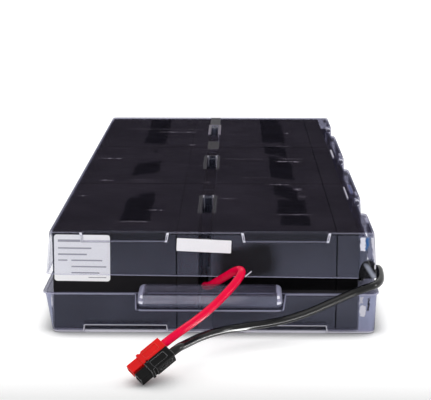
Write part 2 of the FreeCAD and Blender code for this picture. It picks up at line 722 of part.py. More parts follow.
def housing(label, side):
    """One single-pole housing: a square body with a sunk panel, a narrower
    hood, a mouth, a wire hole, a groove along the outer side and half of the
    hole for the roll pin on the inner side."""
    body = new_body(label)
    near_side, far_side = ("-PlugSide", "0") if side < 0 else ("0", "PlugSide")
    middle = f"{side} * PlugSide / 2"
    block = new_sketch(body, f"{label}_block", "XZ_Plane", "-PlugLength")
    draw_rounded(block, near_side, far_side, "-PlugSide / 2", "PlugSide / 2", "0.5")
    add_pad(body, f"{label}_block_pad", block, "PlugLength - HoodLength")
    hood = new_sketch(body, f"{label}_hood", "XZ_Plane", "-HoodLength")
    draw_rounded(hood, f"{near_side} + HoodInset", f"{far_side} - HoodInset",
                 "-PlugSide / 2 + HoodRise", "PlugSide / 2 - HoodDrop", "0.5")
    add_pad(body, f"{label}_hood_pad", hood, "HoodLength")
    mouth = new_sketch(body, f"{label}_mouth", "XZ_Plane")
    draw_rounded(mouth, f"{middle} - MouthWidth / 2", f"{middle} + MouthWidth / 2",
                 "-MouthHeight / 2", "MouthHeight / 2", "0.6")
    add_pocket(body, f"{label}_mouth_cut", mouth, "MouthDepth")
    hole = new_sketch(body, f"{label}_hole", "XZ_Plane", "-PlugLength")
    draw_circle(hole, middle, "0", "WireHoleRadius")
    add_pocket(body, f"{label}_hole_cut", hole, "CrimpDepth + CrimpLength", reversed_side=True)
    slit = new_sketch(body, f"{label}_slit", "XZ_Plane", "-MouthDepth")
    draw_polygon(slit, (
        (f"{middle} - BladeWidth / 2", "-BladeThick / 2"),
        (f"{middle} + BladeWidth / 2", "-BladeThick / 2"),
        (f"{middle} + BladeWidth / 2", "BladeThick / 2"),
        (f"{middle} - BladeWidth / 2", "BladeThick / 2"),
    ))
    add_pocket(body, f"{label}_slit_cut", slit, "PlugLength - MouthDepth - CrimpDepth")
    panel = new_sketch(body, f"{label}_panel", "XY_Plane", "PlugSide / 2")
    draw_rounded(panel, f"{middle} - 2.3", f"{middle} + 2.3", "HoodLength + 3", "PlugLength - 3.5",
                 "0.8")
    add_pocket(body, f"{label}_panel_cut", panel, "PanelDepth")
    groove = new_sketch(body, f"{label}_groove", "YZ_Plane", f"{side} * PlugSide")
    draw_rounded(groove, "RollPinStart + 3", "PlugLength - 2", "-1.2", "1.2", "0.4")
    add_pocket(body, f"{label}_groove_cut", groove, "GrooveDepth", reversed_side=side < 0)
    pin = new_sketch(body, f"{label}_pin", "XY_Plane", "PlugSide / 2")
    draw_circle(pin, "0", "RollPinStart", "RollPinRadius")
    add_pocket(body, f"{label}_pin_cut", pin, "PlugSide")
    outer = new_sketch(body, f"{label}_notch", "XY_Plane", "PlugSide / 2")
    draw_circle(outer, f"{side} * PlugSide", "RollPinStart", "RollPinRadius")
    add_pocket(body, f"{label}_notch_cut", outer, "PlugSide")
    return body


def contact(label, side):
    """The silvered contact: a flat tongue in the mouth and a crimp barrel."""
    body = new_body(label)
    middle = f"{side} * PlugSide / 2"
    barrel = new_sketch(body, f"{label}_barrel", "XZ_Plane", "-PlugLength + CrimpDepth")
    draw_circle(barrel, middle, "0", "CrimpRadius")
    add_pad(body, f"{label}_barrel_pad", barrel, "CrimpLength")
    tongue = new_sketch(body, f"{label}_tongue", "XZ_Plane", "-PlugLength + CrimpDepth")
    draw_polygon(tongue, (
        (f"{middle} - BladeWidth / 2", "-BladeThick / 2"),
        (f"{middle} + BladeWidth / 2", "-BladeThick / 2"),
        (f"{middle} + BladeWidth / 2", "BladeThick / 2"),
        (f"{middle} - BladeWidth / 2", "BladeThick / 2"),
    ))
    add_pad(body, f"{label}_tongue_pad", tongue, "PlugLength - CrimpDepth - 1")
    return body


def roll_pin(label):
    """The pin between the two housings, which keeps them from sliding apart."""
    pin = doc.addObject("Part::Cylinder", label)
    pin.Label = label
    bind(pin, "Radius", "RollPinRadius")
    bind(pin, "Height", "RollPinLength")
    return pin


def plug_frame():
    """Where the pair lies: nose down, with its lowest corner on the floor."""
    turn = FreeCAD.Rotation(size_of("PlugYaw"), 0, 0)
    turn = turn.multiply(FreeCAD.Rotation(FreeCAD.Vector(1, 0, 0), size_of("PlugPitch")))
    turn = turn.multiply(FreeCAD.Rotation(FreeCAD.Vector(0, 1, 0), size_of("PlugRoll")))
    across = number("PlugSide - HoodInset")
    down = number("PlugSide / 2 - HoodRise")
    lowest = turn.multVec(FreeCAD.Vector(across, 0, -down)).z
    return FreeCAD.Placement(FreeCAD.Vector(*PLUG_SPOT, -lowest), turn)


# ----------------------------------------------------------------- assembly

# Where the pair of connectors lies: the middle of its mating end, on the floor.
PLUG_SPOT = (-42.35, -307.5)

parts = [lower_tray(), upper_lid()]

for column in range(2):
    for row in range(ROWS):
        label = f"battery_{column * ROWS + row + 1}"
        for piece in (battery_case(f"{label}_case"), battery_cover(f"{label}_cover"),
                      vent_strip(f"{label}_vent_strip"), terminals(f"{label}_terminals")):
            place(piece, f"ArrayLeft + {column} * ColumnPitch",
                  f"ArrayFront + {row} * RowPitch", "BatteryBottom")
            parts.append(piece)

# The string runs back up the left column, across, and forward down the right.
NEIGHBOURS = ((1, 0, 0), (2, 0, 1), (4, 1, 1), (5, 1, 0))
for count, column, row in NEIGHBOURS:
    for piece in (row_jumper(f"jumper_{count}"),
                  flag_connector(f"jumper_{count}_connectors", 2, "Y_Axis",
                                 "RowGap + 2 * TerminalInset")):
        place(piece, f"ArrayLeft + {column} * ColumnPitch",
              f"ArrayFront + {row + 1} * RowPitch - RowGap - TerminalInset", "BatteryBottom")
        parts.append(piece)

cross = flag_connector("jumper_3_connectors", 2, "X_Axis", "ColumnPitch")
place(cross, "ArrayLeft", "ArrayBack - TerminalInset", "BatteryBottom")
parts.append(cross)

for name, column in (("red", 0), ("black", 1)):
    flag = flag_connector(f"{name}_lead_terminal")
    place(flag, f"ArrayLeft + {column} * ColumnPitch", "ArrayFront + TerminalInset",
          "BatteryBottom")
    parts.append(flag)

PLUG = plug_frame()
for name, side in (("red", -1), ("black", 1)):
    for piece in (housing(f"{name}_connector_housing", side),
                  contact(f"{name}_connector_contact", side)):
        piece.Placement = PLUG
        parts.append(piece)
pin = roll_pin("connector_roll_pin")
pin.Placement = PLUG.multiply(FreeCAD.Placement(
    FreeCAD.Vector(0, size_of("RollPinStart"), -size_of("RollPinLength") / 2),
    FreeCAD.Rotation()))
parts.append(pin)


def flag_mouth(column, row, end):
    """The middle of a flag connector's barrel end."""
    x = number(f"ArrayLeft + {column} * ColumnPitch + BarrelReach")
    near_end = f"ArrayFront + {row} * RowPitch + TerminalInset"
    far_end = f"ArrayFront + {row} * RowPitch + BatteryLength - TerminalInset"
    return x, number(near_end if end == 0 else far_end), size_of("BarrelEnd")


def plug_line(side, stub):
    """A lead's last two points: on the housing's axis behind it, and inside."""
    middle = side * size_of("PlugSide") / 2
    behind = PLUG.multVec(FreeCAD.Vector(middle, size_of("PlugLength") + stub, 0))
    stop = PLUG.multVec(FreeCAD.Vector(middle, size_of("PlugLength") - size_of("CrimpDepth"), 0))
    return tuple(behind), tuple(stop)


def shifted(start, *steps):
    """Points given as offsets from the start."""
    return [tuple(a + b for a, b in zip(start, step)) for step in steps]


back_left = flag_mouth(0, ROWS - 1, 1)
back_right = flag_mouth(1, ROWS - 1, 1)
parts.append(add_wire("jumper_3", [
    back_left,
    *shifted(back_left, (0, 0, -5.2), (-0.2, 4, -8.8), (-0.3, 11.3, -8.8),
             (3.1, 16.1, -8.2), (9.8, 16.9, -7.8), (20.3, 15.9, -7.8), (38.3, 15.5, -8.6)),
    *shifted(back_right, (-48.5, 15.7, -9.0), (-32.5, 15.5, -8.6), (-18.5, 16.1, -8.0),
             (-8.5, 16.9, -7.8), (-2.1, 16.1, -8.2), (1.1, 11.3, -8.8), (0.8, 4, -8.8),
             (0, 0, -5.2)),
    back_right,
], "JumperDiameter"))

red_start = flag_mouth(0, 0, 0)
parts.append(add_wire("red_lead", [
    red_start,
    *shifted(red_start, (0, 0, -5.5), (0, -2.5, -9), (0.1, -6.5, -10.4), (0.7, -11.3, -10.4),
             (3.7, -15.1, -9.1), (7.2, -17.1, -6.3), (13.3, -22.5, -1.1), (18.9, -28, 4.1),
             (23.2, -33.5, 7.2), (24.4, -39, 6.6), (21.9, -44.5, 3.7), (17.1, -51.5, -0.4),
             (7.7, -63.5, -7.1), (-3.1, -76.5, -12.8)),
    *plug_line(-1, 8),
], "LeadDiameter"))

black_start = flag_mouth(1, 0, 0)
parts.append(add_wire("black_lead", [
    black_start,
    *shifted(black_start, (0, 0, -5), (-0.1, 3.4, -8.8), (-0.5, 12.3, -10.4),
             (2.8, 16.6, -9.2), (8, 16.9, -7.2), (11.3, 13.1, -4.6), (11.7, 6.5, -3.6),
             (11.7, -2.5, -4.8), (10.7, -11.9, -6.4), (6.9, -19.3, -7), (0.1, -24.1, -7.6),
             (-9.6, -27.9, -10.3), (-22.5, -30.5, -15.5), (-38, -33.5, -21.8),
             (-55.5, -37, -26.2), (-73.5, -43.5, -26.8), (-89.5, -54.5, -25.8),
             (-103, -72, -24.2), (-112, -89.5, -23.4)),
    *plug_line(1, 4.5),
], "LeadDiameter"))

doc.recompute()

for thing in doc.Objects:
    if "Invalid" in thing.State or "Error" in thing.State:
        raise RuntimeError(f"{thing.Name} failed: {thing.State}")

os.makedirs("parts", exist_ok=True)
for piece in parts:
    if piece.Shape.isNull() or not piece.Shape.isValid():
        raise RuntimeError(f"{piece.Label} has no valid shape")
for piece in parts:
    piece.Shape.exportStep(f"parts/{piece.Label}.step")
    box = piece.Shape.BoundBox
    print(f"{piece.Label}: {len(piece.Shape.Solids)} solid(s), {piece.Shape.Volume / 1000:.2f} cm3, "
          f"x {box.XMin:.1f} {box.XMax:.1f}, y {box.YMin:.1f} {box.YMax:.1f}, "
          f"z {box.ZMin:.1f} {box.ZMax:.1f}")
print(len(parts), "parts")
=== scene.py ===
import math

import bmesh
import bpy
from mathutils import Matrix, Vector


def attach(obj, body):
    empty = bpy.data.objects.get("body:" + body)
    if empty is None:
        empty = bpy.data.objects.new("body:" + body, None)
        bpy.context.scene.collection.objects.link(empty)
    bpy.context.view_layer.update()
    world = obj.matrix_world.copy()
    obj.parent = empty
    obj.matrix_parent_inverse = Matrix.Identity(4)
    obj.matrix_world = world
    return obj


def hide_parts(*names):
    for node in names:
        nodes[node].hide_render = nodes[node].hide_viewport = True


# The dressed battery cartridge: cords, camera, materials, labels, floor, lamps.
# Lengths are in metres in the part's own frame.

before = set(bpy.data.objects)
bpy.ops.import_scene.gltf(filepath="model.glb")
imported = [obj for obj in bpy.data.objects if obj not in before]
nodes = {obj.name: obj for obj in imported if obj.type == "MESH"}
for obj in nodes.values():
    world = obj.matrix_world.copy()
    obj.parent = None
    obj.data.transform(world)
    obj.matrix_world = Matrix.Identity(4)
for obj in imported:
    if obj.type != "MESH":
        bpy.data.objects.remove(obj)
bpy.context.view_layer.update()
scene = bpy.context.scene
scene.view_settings.view_transform = "Standard"


# ------------------------------------------------------------- shader helper

class Shade:
    """A small builder of node materials."""

    def __init__(self, name):
        self.material = bpy.data.materials.new(name)
        self.material.use_nodes = True
        self.tree = self.material.node_tree
        self.tree.nodes.clear()
        self.out = self.tree.nodes.new("ShaderNodeOutputMaterial")
        self.where = self.tree.nodes.new("ShaderNodeTexCoord").outputs["Object"]
        self.axes = self.tree.nodes.new("ShaderNodeSeparateXYZ")
        self.tree.links.new(self.where, self.axes.inputs[0])
        self.x, self.y, self.z = self.axes.outputs

    def feed(self, socket, value):
        if isinstance(value, bpy.types.NodeSocket):
            self.tree.links.new(value, socket)
        elif isinstance(value, (tuple, list)) and len(value) == 3 and socket.type == "RGBA":
            socket.default_value = (*value, 1)
        else:
            socket.default_value = value

    def math(self, kind, a, b=0.0, clamp=False):
        node = self.tree.nodes.new("ShaderNodeMath")
        node.operation = kind
        node.use_clamp = clamp
        self.feed(node.inputs[0], a)
        self.feed(node.inputs[1], b)
        return node.outputs[0]

    def plus(self, *terms):
        total = terms[0]
        for term in terms[1:]:
            total = self.math("ADD", total, term)
        return total

    def times(self, *terms):
        total = terms[0]
        for term in terms[1:]:
            total = self.math("MULTIPLY", total, term)
        return total

    def ramp(self, value, low, high, to_low=0.0, to_high=1.0, smooth=True):
        """Maps low..high to to_low..to_high, held at both ends."""
        node = self.tree.nodes.new("ShaderNodeMapRange")
        node.interpolation_type = "SMOOTHSTEP" if smooth else "LINEAR"
        node.clamp = True
        self.feed(node.inputs["Value"], value)
        for name, number in (("From Min", low), ("From Max", high),
                             ("To Min", to_low), ("To Max", to_high)):
            self.feed(node.inputs[name], number)
        return node.outputs["Result"]

    def band(self, value, low, high, soft):
        """1 between low and high, fading to 0 over soft on both sides."""
        rise = self.ramp(value, low - soft, low + soft)
        fall = self.ramp(value, high - soft, high + soft, 1.0, 0.0)
        return self.times(rise, fall)

    def stretched(self, scale):
        """Object coordinates, scaled along each axis."""
        node = self.tree.nodes.new("ShaderNodeMapping")
        self.feed(node.inputs["Vector"], self.where)
        node.inputs["Scale"].default_value = scale
        return node.outputs[0]

    def noise(self, scale, detail=3.0, rough=0.5, vector=None):
        node = self.tree.nodes.new("ShaderNodeTexNoise")
        self.feed(node.inputs["Vector"], vector or self.where)
        node.inputs["Scale"].default_value = scale
        node.inputs["Detail"].default_value = detail
        node.inputs["Roughness"].default_value = rough
        return node.outputs["Fac"]

    def blend(self, factor, first, second):
        """A mix of two colours."""
        node = self.tree.nodes.new("ShaderNodeMix")
        node.data_type = "RGBA"
        self.feed(node.inputs["Factor"], factor)
        self.feed(node.inputs[6], first)
        self.feed(node.inputs[7], second)
        return node.outputs[2]

    def bump(self, height, strength, distance, edge=None):
        """A bumped normal, with edges rounded by the given radius."""
        node = self.tree.nodes.new("ShaderNodeBump")
        if edge:
            rounded = self.tree.nodes.new("ShaderNodeBevel")
            rounded.inputs["Radius"].default_value = edge
            self.tree.links.new(rounded.outputs[0], node.inputs["Normal"])
        node.inputs["Strength"].default_value = strength
        node.inputs["Distance"].default_value = distance
        self.feed(node.inputs["Height"], height)
        return node.outputs[0]

    def sharpness(self, radius):
        """1 on flat faces, lower where a bevel of the radius would turn the normal."""
        shape = self.tree.nodes.new("ShaderNodeNewGeometry")
        rounded = self.tree.nodes.new("ShaderNodeBevel")
        rounded.samples = 6
        rounded.inputs["Radius"].default_value = radius
        turn = self.tree.nodes.new("ShaderNodeVectorMath")
        turn.operation = "DOT_PRODUCT"
        self.tree.links.new(shape.outputs["True Normal"], turn.inputs[0])
        self.tree.links.new(rounded.outputs[0], turn.inputs[1])
        return turn.outputs["Value"], shape.outputs["True Normal"]

    def principled(self, **inputs):
        node = self.tree.nodes.new("ShaderNodeBsdfPrincipled")
        for name, value in inputs.items():
            self.feed(node.inputs[name.replace("_", " ")], value)
        return node.outputs[0]

    def show(self, shader):
        self.tree.links.new(shader, self.out.inputs["Surface"])
        return self.material


def dress(material, *names):
    """Gives CAD nodes a material through their own slots."""
    for name in names:
        piece = nodes[name]
        for index in range(len(piece.material_slots)):
            piece.material_slots[index].material = material


# ------------------------------------------------------------------- camera

camera_data = bpy.data.cameras.new("camera")
camera_data.sensor_width = 36
camera_data.lens = 112.18
camera_data.clip_end = 60
camera = bpy.data.objects.new("camera", camera_data)
camera.location = (0.016, -1.044, 0.275)
camera.rotation_euler = (math.radians(90 - 12.64), 0, math.radians(0.89))
scene.collection.objects.link(camera)
scene.camera = camera


# -------------------------------------------------------------------- cords

def wire(name, route, diameter):
    """One smooth line through its control points, as thick as the wire. Route
    and diameter are in millimetres. The radius is set at the points, because a
    curve's box grows by it."""
    curve = bpy.data.curves.new(name, "CURVE")
    curve.dimensions = "3D"
    spline = curve.splines.new("NURBS")
    spline.points.add(len(route) - 1)
    for spot, place in zip(spline.points, route):
        spot.co = (*[value / 1000 for value in place], 1)
        spot.radius = diameter / 2 / 1000
    spline.order_u = 3
    spline.use_endpoint_u = True
    spline.resolution_u = 14
    curve.bevel_depth = 1.0
    curve.bevel_resolution = 5
    curve.use_fill_caps = True
    piece = bpy.data.objects.new(name, curve)
    scene.collection.objects.link(piece)
    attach(piece, "root")
    return piece


# Control points in millimetres, from the flag connector to the housing.
RED_ROUTE = (
    (-4.3, -197.5, 41), (-4.3, -197.5, 35.5), (-4.3, -200, 32), (-4.2, -204, 30.6),
    (-3.6, -208.8, 30.6), (-0.6, -212.6, 31.9), (2.9, -214.6, 34.7), (9, -220, 39.9),
    (14.6, -225.5, 45.1), (18.9, -231, 48.2), (20.1, -236.5, 47.6), (17.6, -242, 44.7),
    (12.8, -249, 40.6), (3.4, -261, 33.9), (-7.4, -274, 28.2), (-20.7, -291.0, 23.8),
    (-31.1, -297.0, 16.6),
)
BLACK_ROUTE = (
    (98.5, -197.5, 41), (98.5, -197.5, 36), (98.4, -194.1, 32.2), (98, -185.2, 30.6),
    (101.3, -180.9, 31.8), (106.5, -180.6, 33.8), (109.8, -184.4, 36.4), (110.2, -191, 37.4),
    (110.2, -200, 36.2), (109.2, -209.4, 34.6), (105.4, -216.8, 34), (98.6, -221.6, 33.4),
    (88.9, -225.4, 30.7), (76, -228, 25.5), (60.5, -231, 19.2), (43, -234.5, 14.8),
    (25, -241, 14.2), (9, -252, 15.2), (-4.5, -269.5, 16.8), (-13.5, -287, 17.6),
    (-18.2, -297.5, 18.7), (-26.0, -302.0, 13.3),
)

LEAD_DIAMETER = 5.2
red_lead = wire("red_lead_insulation", RED_ROUTE, LEAD_DIAMETER)
black_lead = wire("black_lead_insulation", BLACK_ROUTE, LEAD_DIAMETER)
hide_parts("red_lead")
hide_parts("black_lead")


# ---------------------------------------------------------------- materials

CHANNEL_MIDDLE = -0.0036
LAND_MIDDLE, LAND_APART, LAND_HALF = CHANNEL_MIDDLE, 0.05175, 0.0265
FRONT_WALL = -0.2109
DIMPLE_X, DIMPLE_Z = 0.1021, 0.0641
DIMPLE_PLACES = (-0.1125, 0.0395, 0.1915)
SEAMS = (-0.0220, 0.0808)
# PALE and BRIGHT are the tones of painted highlights and reflections on the clear sheets.
PALE = (0.62, 0.62, 0.82)
BRIGHT = (0.84, 0.83, 0.92)


def near_value(s, value, place, reach, soft=0.0003):
    """1 within reach of a place, fading over soft."""
    away = s.math("ABSOLUTE", s.math("SUBTRACT", value, place))
    return s.ramp(away, reach, reach + soft, 1.0, 0.0)


def either(s, *masks):
    total = masks[0]
    for mask in masks[1:]:
        total = s.math("MAXIMUM", total, mask)
    return total


def other(s, mask):
    return s.math("SUBTRACT", 1.0, mask, clamp=True)


def window(s, across, left, right, up, low, high, soft=0.0003):
    """1 in a rectangle given in millimetres."""
    return s.times(s.band(across, left / 1000, right / 1000, soft),
                   s.band(up, low / 1000, high / 1000, soft))


def from_land(s):
    """How far along X a point lies from the middle of the nearer land."""
    side = s.math("ABSOLUTE", s.math("SUBTRACT", s.x, LAND_MIDDLE))
    return s.math("ABSOLUTE", s.math("SUBTRACT", side, LAND_APART))


def seams(s):
    """Where the joints between battery cases and covers stand behind."""
    return either(s, *(near_value(s, s.x, place, 0.0003, 0.0004) for place in SEAMS))


def clear_sheet(name, marks):
    """Clear formed sheet: clear when looked through squarely and smoky at
    grazing angles, with fine scratches, a thin violet milky layer that is partly
    painted sheen, and painted highlights along its edges and folds."""
    s = Shade(name)
    look = s.tree.nodes.new("ShaderNodeLayerWeight")
    look.inputs["Blend"].default_value = 0.5
    grazing = look.outputs["Facing"]
    turned, facing = s.sharpness(0.0006)
    # Painted highlight along edges and folds, weaker towards the back.
    edge_highlight = s.ramp(turned, 0.72, 0.97, 1.0, 0.0)
    edge_highlight = s.times(edge_highlight, s.ramp(s.y, -0.205, -0.170, 1.0, 0.45))
    normal = s.tree.nodes.new("ShaderNodeSeparateXYZ")
    s.tree.links.new(facing, normal.inputs[0])
    s.upright = s.ramp(s.math("ABSOLUTE", normal.outputs[2]), 0.5, 0.95, 1.0, 0.0)
    # Painted sheen in the milky layer: stronger on upright faces, towards the right, low down, and at the
    # outer ends of the front near its foot; flat faces get a thinner layer.
    sheen_rightward = s.ramp(s.x, -0.10, 0.10, 0.9, 1.2, smooth=False)
    sheen_downward = s.ramp(s.z, 0.040, 0.062, 1.12, 0.78)
    corner = s.times(s.ramp(s.math("ABSOLUTE", s.plus(s.x, -CHANNEL_MIDDLE)), 0.0985, 0.0995),
                     s.ramp(s.y, -0.2105, -0.2095, 1.0, 0.0),
                     s.ramp(s.z, 0.030, 0.036, 0.42, 0.05))
    haze_and_sheen = s.plus(s.times(s.upright, s.plus(s.times(sheen_rightward, sheen_downward, 0.058), corner)),
                  s.times(other(s, s.upright), 0.023))
    cloud = s.ramp(s.noise(22, 4, 0.6), 0.35, 0.7, 0.8, 1.15)
    layers, haze_gaps_and_shade, calm, open_side = marks(s)
    # The milky layer is held off where the lid clings and where shade is painted, which darkens those
    # places.
    haze_and_sheen = s.times(haze_and_sheen, cloud, other(s, haze_gaps_and_shade))
    opacity = s.plus(haze_and_sheen, s.times(edge_highlight, other(s, calm), 0.28))
    # Painted sheen: upright and flat faces get different tints, and the painted edge highlight is paler.
    tint = s.blend(s.upright, (0.56, 0.47, 0.64), (0.46, 0.49, 0.70))
    tint = s.blend(s.times(edge_highlight, 0.6), tint, PALE)
    for mask, strength, tone in layers:
        opacity = s.math("MAXIMUM", opacity, s.times(mask, strength), clamp=True)
        tint = s.blend(mask, tint, tone)
    plastic = s.principled(Base_Color=tint, Roughness=0.35, Specular_IOR_Level=0.08)
    clear = s.tree.nodes.new("ShaderNodeBsdfTransparent")
    smoke = s.times(s.ramp(grazing, 0.45, 0.80), s.ramp(open_side, 0.0, 1.0, 1.0, 0.22))
    s.feed(clear.inputs["Color"], s.blend(smoke, (0.975, 0.975, 0.985), (0.36, 0.36, 0.42)))
    mix = s.tree.nodes.new("ShaderNodeMixShader")
    s.feed(mix.inputs["Fac"], opacity)
    s.tree.links.new(clear.outputs[0], mix.inputs[1])
    s.tree.links.new(plastic, mix.inputs[2])
    return s.show(mix.outputs[0])


def tray_marks(s):
    """Painted highlights along the rim, the foot fold, the land ends and ledge,
    the right edge and the boss of the pull tab, painted reflections at the right
    front corner, and painted shade on the land faces.
    """
    front = s.ramp(s.y, FRONT_WALL - 0.0004, FRONT_WALL, 1.0, 0.0)
    ahead = s.ramp(s.y, -0.2080, -0.2070, 1.0, 0.0)
    tab = s.ramp(s.y, -0.2185, -0.2180, 1.0, 0.0)
    away = from_land(s)
    in_land = s.ramp(away, LAND_HALF, LAND_HALF + 0.0012, 1.0, 0.0)
    side = s.math("ABSOLUTE", s.x)
    within = s.times(tab, s.ramp(s.y, -0.2524, -0.2520), s.ramp(side, 0.0456, 0.0457, 1.0, 0.0))
    # Painted highlights along the rim and the outline of the pull tab's boss.
    rim = s.times(s.band(s.z, 0.0273, 0.0290, 0.0002), s.upright, other(s, within))
    border = s.math("SUBTRACT", side, s.plus(s.times(s.y, 0.0785), 0.06561))
    outline = s.times(tab, s.band(border, -0.0008, 0.0006, 0.0002),
                      s.band(s.z, 0.0271, 0.0288, 0.0002))
    # Painted highlight along the foot fold.
    foot = s.times(s.ramp(s.z, 0.0012, 0.0017, 1.0, 0.0), ahead)
    base = s.times(s.ramp(s.z, 0.0012, 0.0045, 1.0, 0.0), front, other(s, in_land))
    # Painted highlights on the land ends and along the ledge.
    lean = s.plus(away, s.times(s.z, 0.20))
    ends = s.times(s.band(lean, LAND_HALF + 0.0006, LAND_HALF + 0.0015, 0.0002),
                   s.ramp(s.z, 0.0052, 0.0056, 1.0, 0.0), front)
    ledge = s.times(near_value(s, s.z, 0.0052, 0.0003), in_land, front)
    # Painted sheen on the boss, streaked and fading to the right, and painted highlights on its ends and
    # in small glints.
    boss = s.times(tab, s.ramp(s.z, 0.0290, 0.0300), s.upright)
    boss_ends = s.times(tab, s.ramp(side, 0.0410, 0.0425), s.ramp(s.z, 0.0285, 0.0295))
    boss_glints = s.times(tab, s.ramp(side, 0.0415, 0.0420), s.ramp(side, 0.0446, 0.0452, 1.0, 0.0),
                    s.ramp(s.y, -0.2430, -0.2420, 1.0, 0.0),
                    either(s, near_value(s, s.z, 0.0336, 0.0008),
                           near_value(s, s.z, 0.0300, 0.0006)))
    boss_streaked_sheen = s.times(s.ramp(s.noise(1.0, 4, 0.6, s.stretched((45, 60, 260))), 0.35, 0.7, 0.7, 1.2),
                    s.ramp(s.x, 0.012, 0.030, 1.0, 0.25))
    # Painted reflections at the right front corner, with a dark streak beside them.
    uneven = s.times(s.math("SUBTRACT", s.noise(330, 3, 0.6), 0.5), 0.0035)
    across, up = s.plus(s.x, uneven), s.plus(s.z, s.times(uneven, 1.4))
    corner_reflection = s.times(window(s, across, 96.2, 99.8, up, 12.8, 20.0), front)
    strip = s.times(window(s, across, 95.6, 97.8, up, 21.6, 25.6), front)
    dark_streak = s.times(window(s, across, 100.6, 102.0, up, 16.6, 25.0, 0.0005), front)
    # Painted highlights along the right edge and at the left end.
    right_edge = s.times(s.ramp(s.x, 0.1072, 0.1084), s.upright, other(s, tab))
    left_glint = s.times(near_value(s, s.x, -0.1024, 0.0003), s.band(s.z, 0.018, 0.026, 0.002),
                         front)
    layers = (
        (s.times(boss, boss_streaked_sheen), 0.20, (0.60, 0.60, 0.74)), (base, 0.17, (0.50, 0.48, 0.72)),
        (rim, 0.36, PALE), (outline, 0.34, PALE), (boss_ends, 0.34, PALE), (dark_streak, 0.4, (0.02, 0.02, 0.03)),
        (strip, 0.4, BRIGHT), (corner_reflection, 0.7, BRIGHT), (right_edge, 0.45, PALE),
        (left_glint, 0.5, BRIGHT), (foot, 0.85, BRIGHT), (ledge, 0.75, BRIGHT),
        (ends, 0.8, BRIGHT), (boss_glints, 0.85, BRIGHT),
    )
    plate = s.times(other(s, s.upright), s.band(s.z, 0.0271, 0.0288, 0.0002))
    # Painted shade on the land faces.
    shade = s.times(s.band(s.z, 0.0060, 0.0085, 0.0008), in_land, front, 0.5)
    inside = s.times(in_land, s.ramp(s.z, 0.0045, 0.0050, 1.0, 0.0), ahead, other(s, front), 0.7)
    seam = s.times(seams(s), front, 0.9)
    haze_gaps_and_shade = either(s, plate, shade, inside, seam)
    calm = s.times(tab, s.ramp(s.z, 0.0275, 0.0280), s.ramp(s.z, 0.0310, 0.0320, 1.0, 0.0), 0.85)
    left_side = s.times(s.ramp(s.x, -0.1025, -0.1015, 1.0, 0.0), other(s, rim), 0.32)
    open_side = either(s, left_side, s.times(tab, 0.55))
    return layers, haze_gaps_and_shade, calm, open_side


# Fine scratches on the lid's top: left, right, place along Y and width in
# millimetres, and strength.
SCRATCHES = (
    (-84, -14, 175, 1.8, 0.05), (-53, -20, 160, 2.0, 0.10), (-24, -17, 96, 1.8, 0.14),
    (-96, -77, 31, 1.6, 0.12), (6, 37, 34, 1.4, 0.07), (-63, -42, -54, 1.3, 0.06),
    (-62, -39, -62, 1.1, 0.05), (-43, -33, -154, 0.8, 0.16), (4, 16, -115, 1.0, 0.09),
    (40, 56, -64, 1.6, 0.11), (49, 68, 26, 2.2, 0.13), (52, 70, 37, 1.4, 0.08),
    (-62, -42, -188, 2.0, 0.09), (42, 63, 95, 2.6, 0.06), (60, 63, 160, 1.8, 0.2),
    (-86, -77, -58, 1.5, 0.12), (44, 68, -161, 0.7, 0.10), (-9, -4, -60, 1.4, 0.13),
    (59, 63, -80, 4.5, 0.16), (62, 65, -104, 4.0, 0.12), (-97, -90, -112, 1.0, 0.12),
    (-7, 30, 150, 1.4, 0.05), (-40, 10, 5, 0.9, 0.04), (20, 45, -40, 1.0, 0.05),
)


def scratches(s):
    wobble = s.times(s.math("SUBTRACT", s.noise(40, 2, 0.5), 0.5), 0.006)
    along = s.plus(s.y, wobble, s.times(s.x, 0.05))
    total = None
    for left, right, middle, reach, strength in SCRATCHES:
        line = s.times(s.band(s.x, left / 1000, right / 1000, 0.0025),
                       near_value(s, along, middle / 1000, reach / 1400, 0.0010), strength * 1.5)
        total = line if total is None else s.math("MAXIMUM", total, line)
    broken = s.ramp(s.noise(1.0, 4, 0.65, s.stretched((260, 120, 60))), 0.38, 0.62, 0.35, 1.1)
    return s.times(total, broken, s.ramp(s.z, 0.0670, 0.0674))


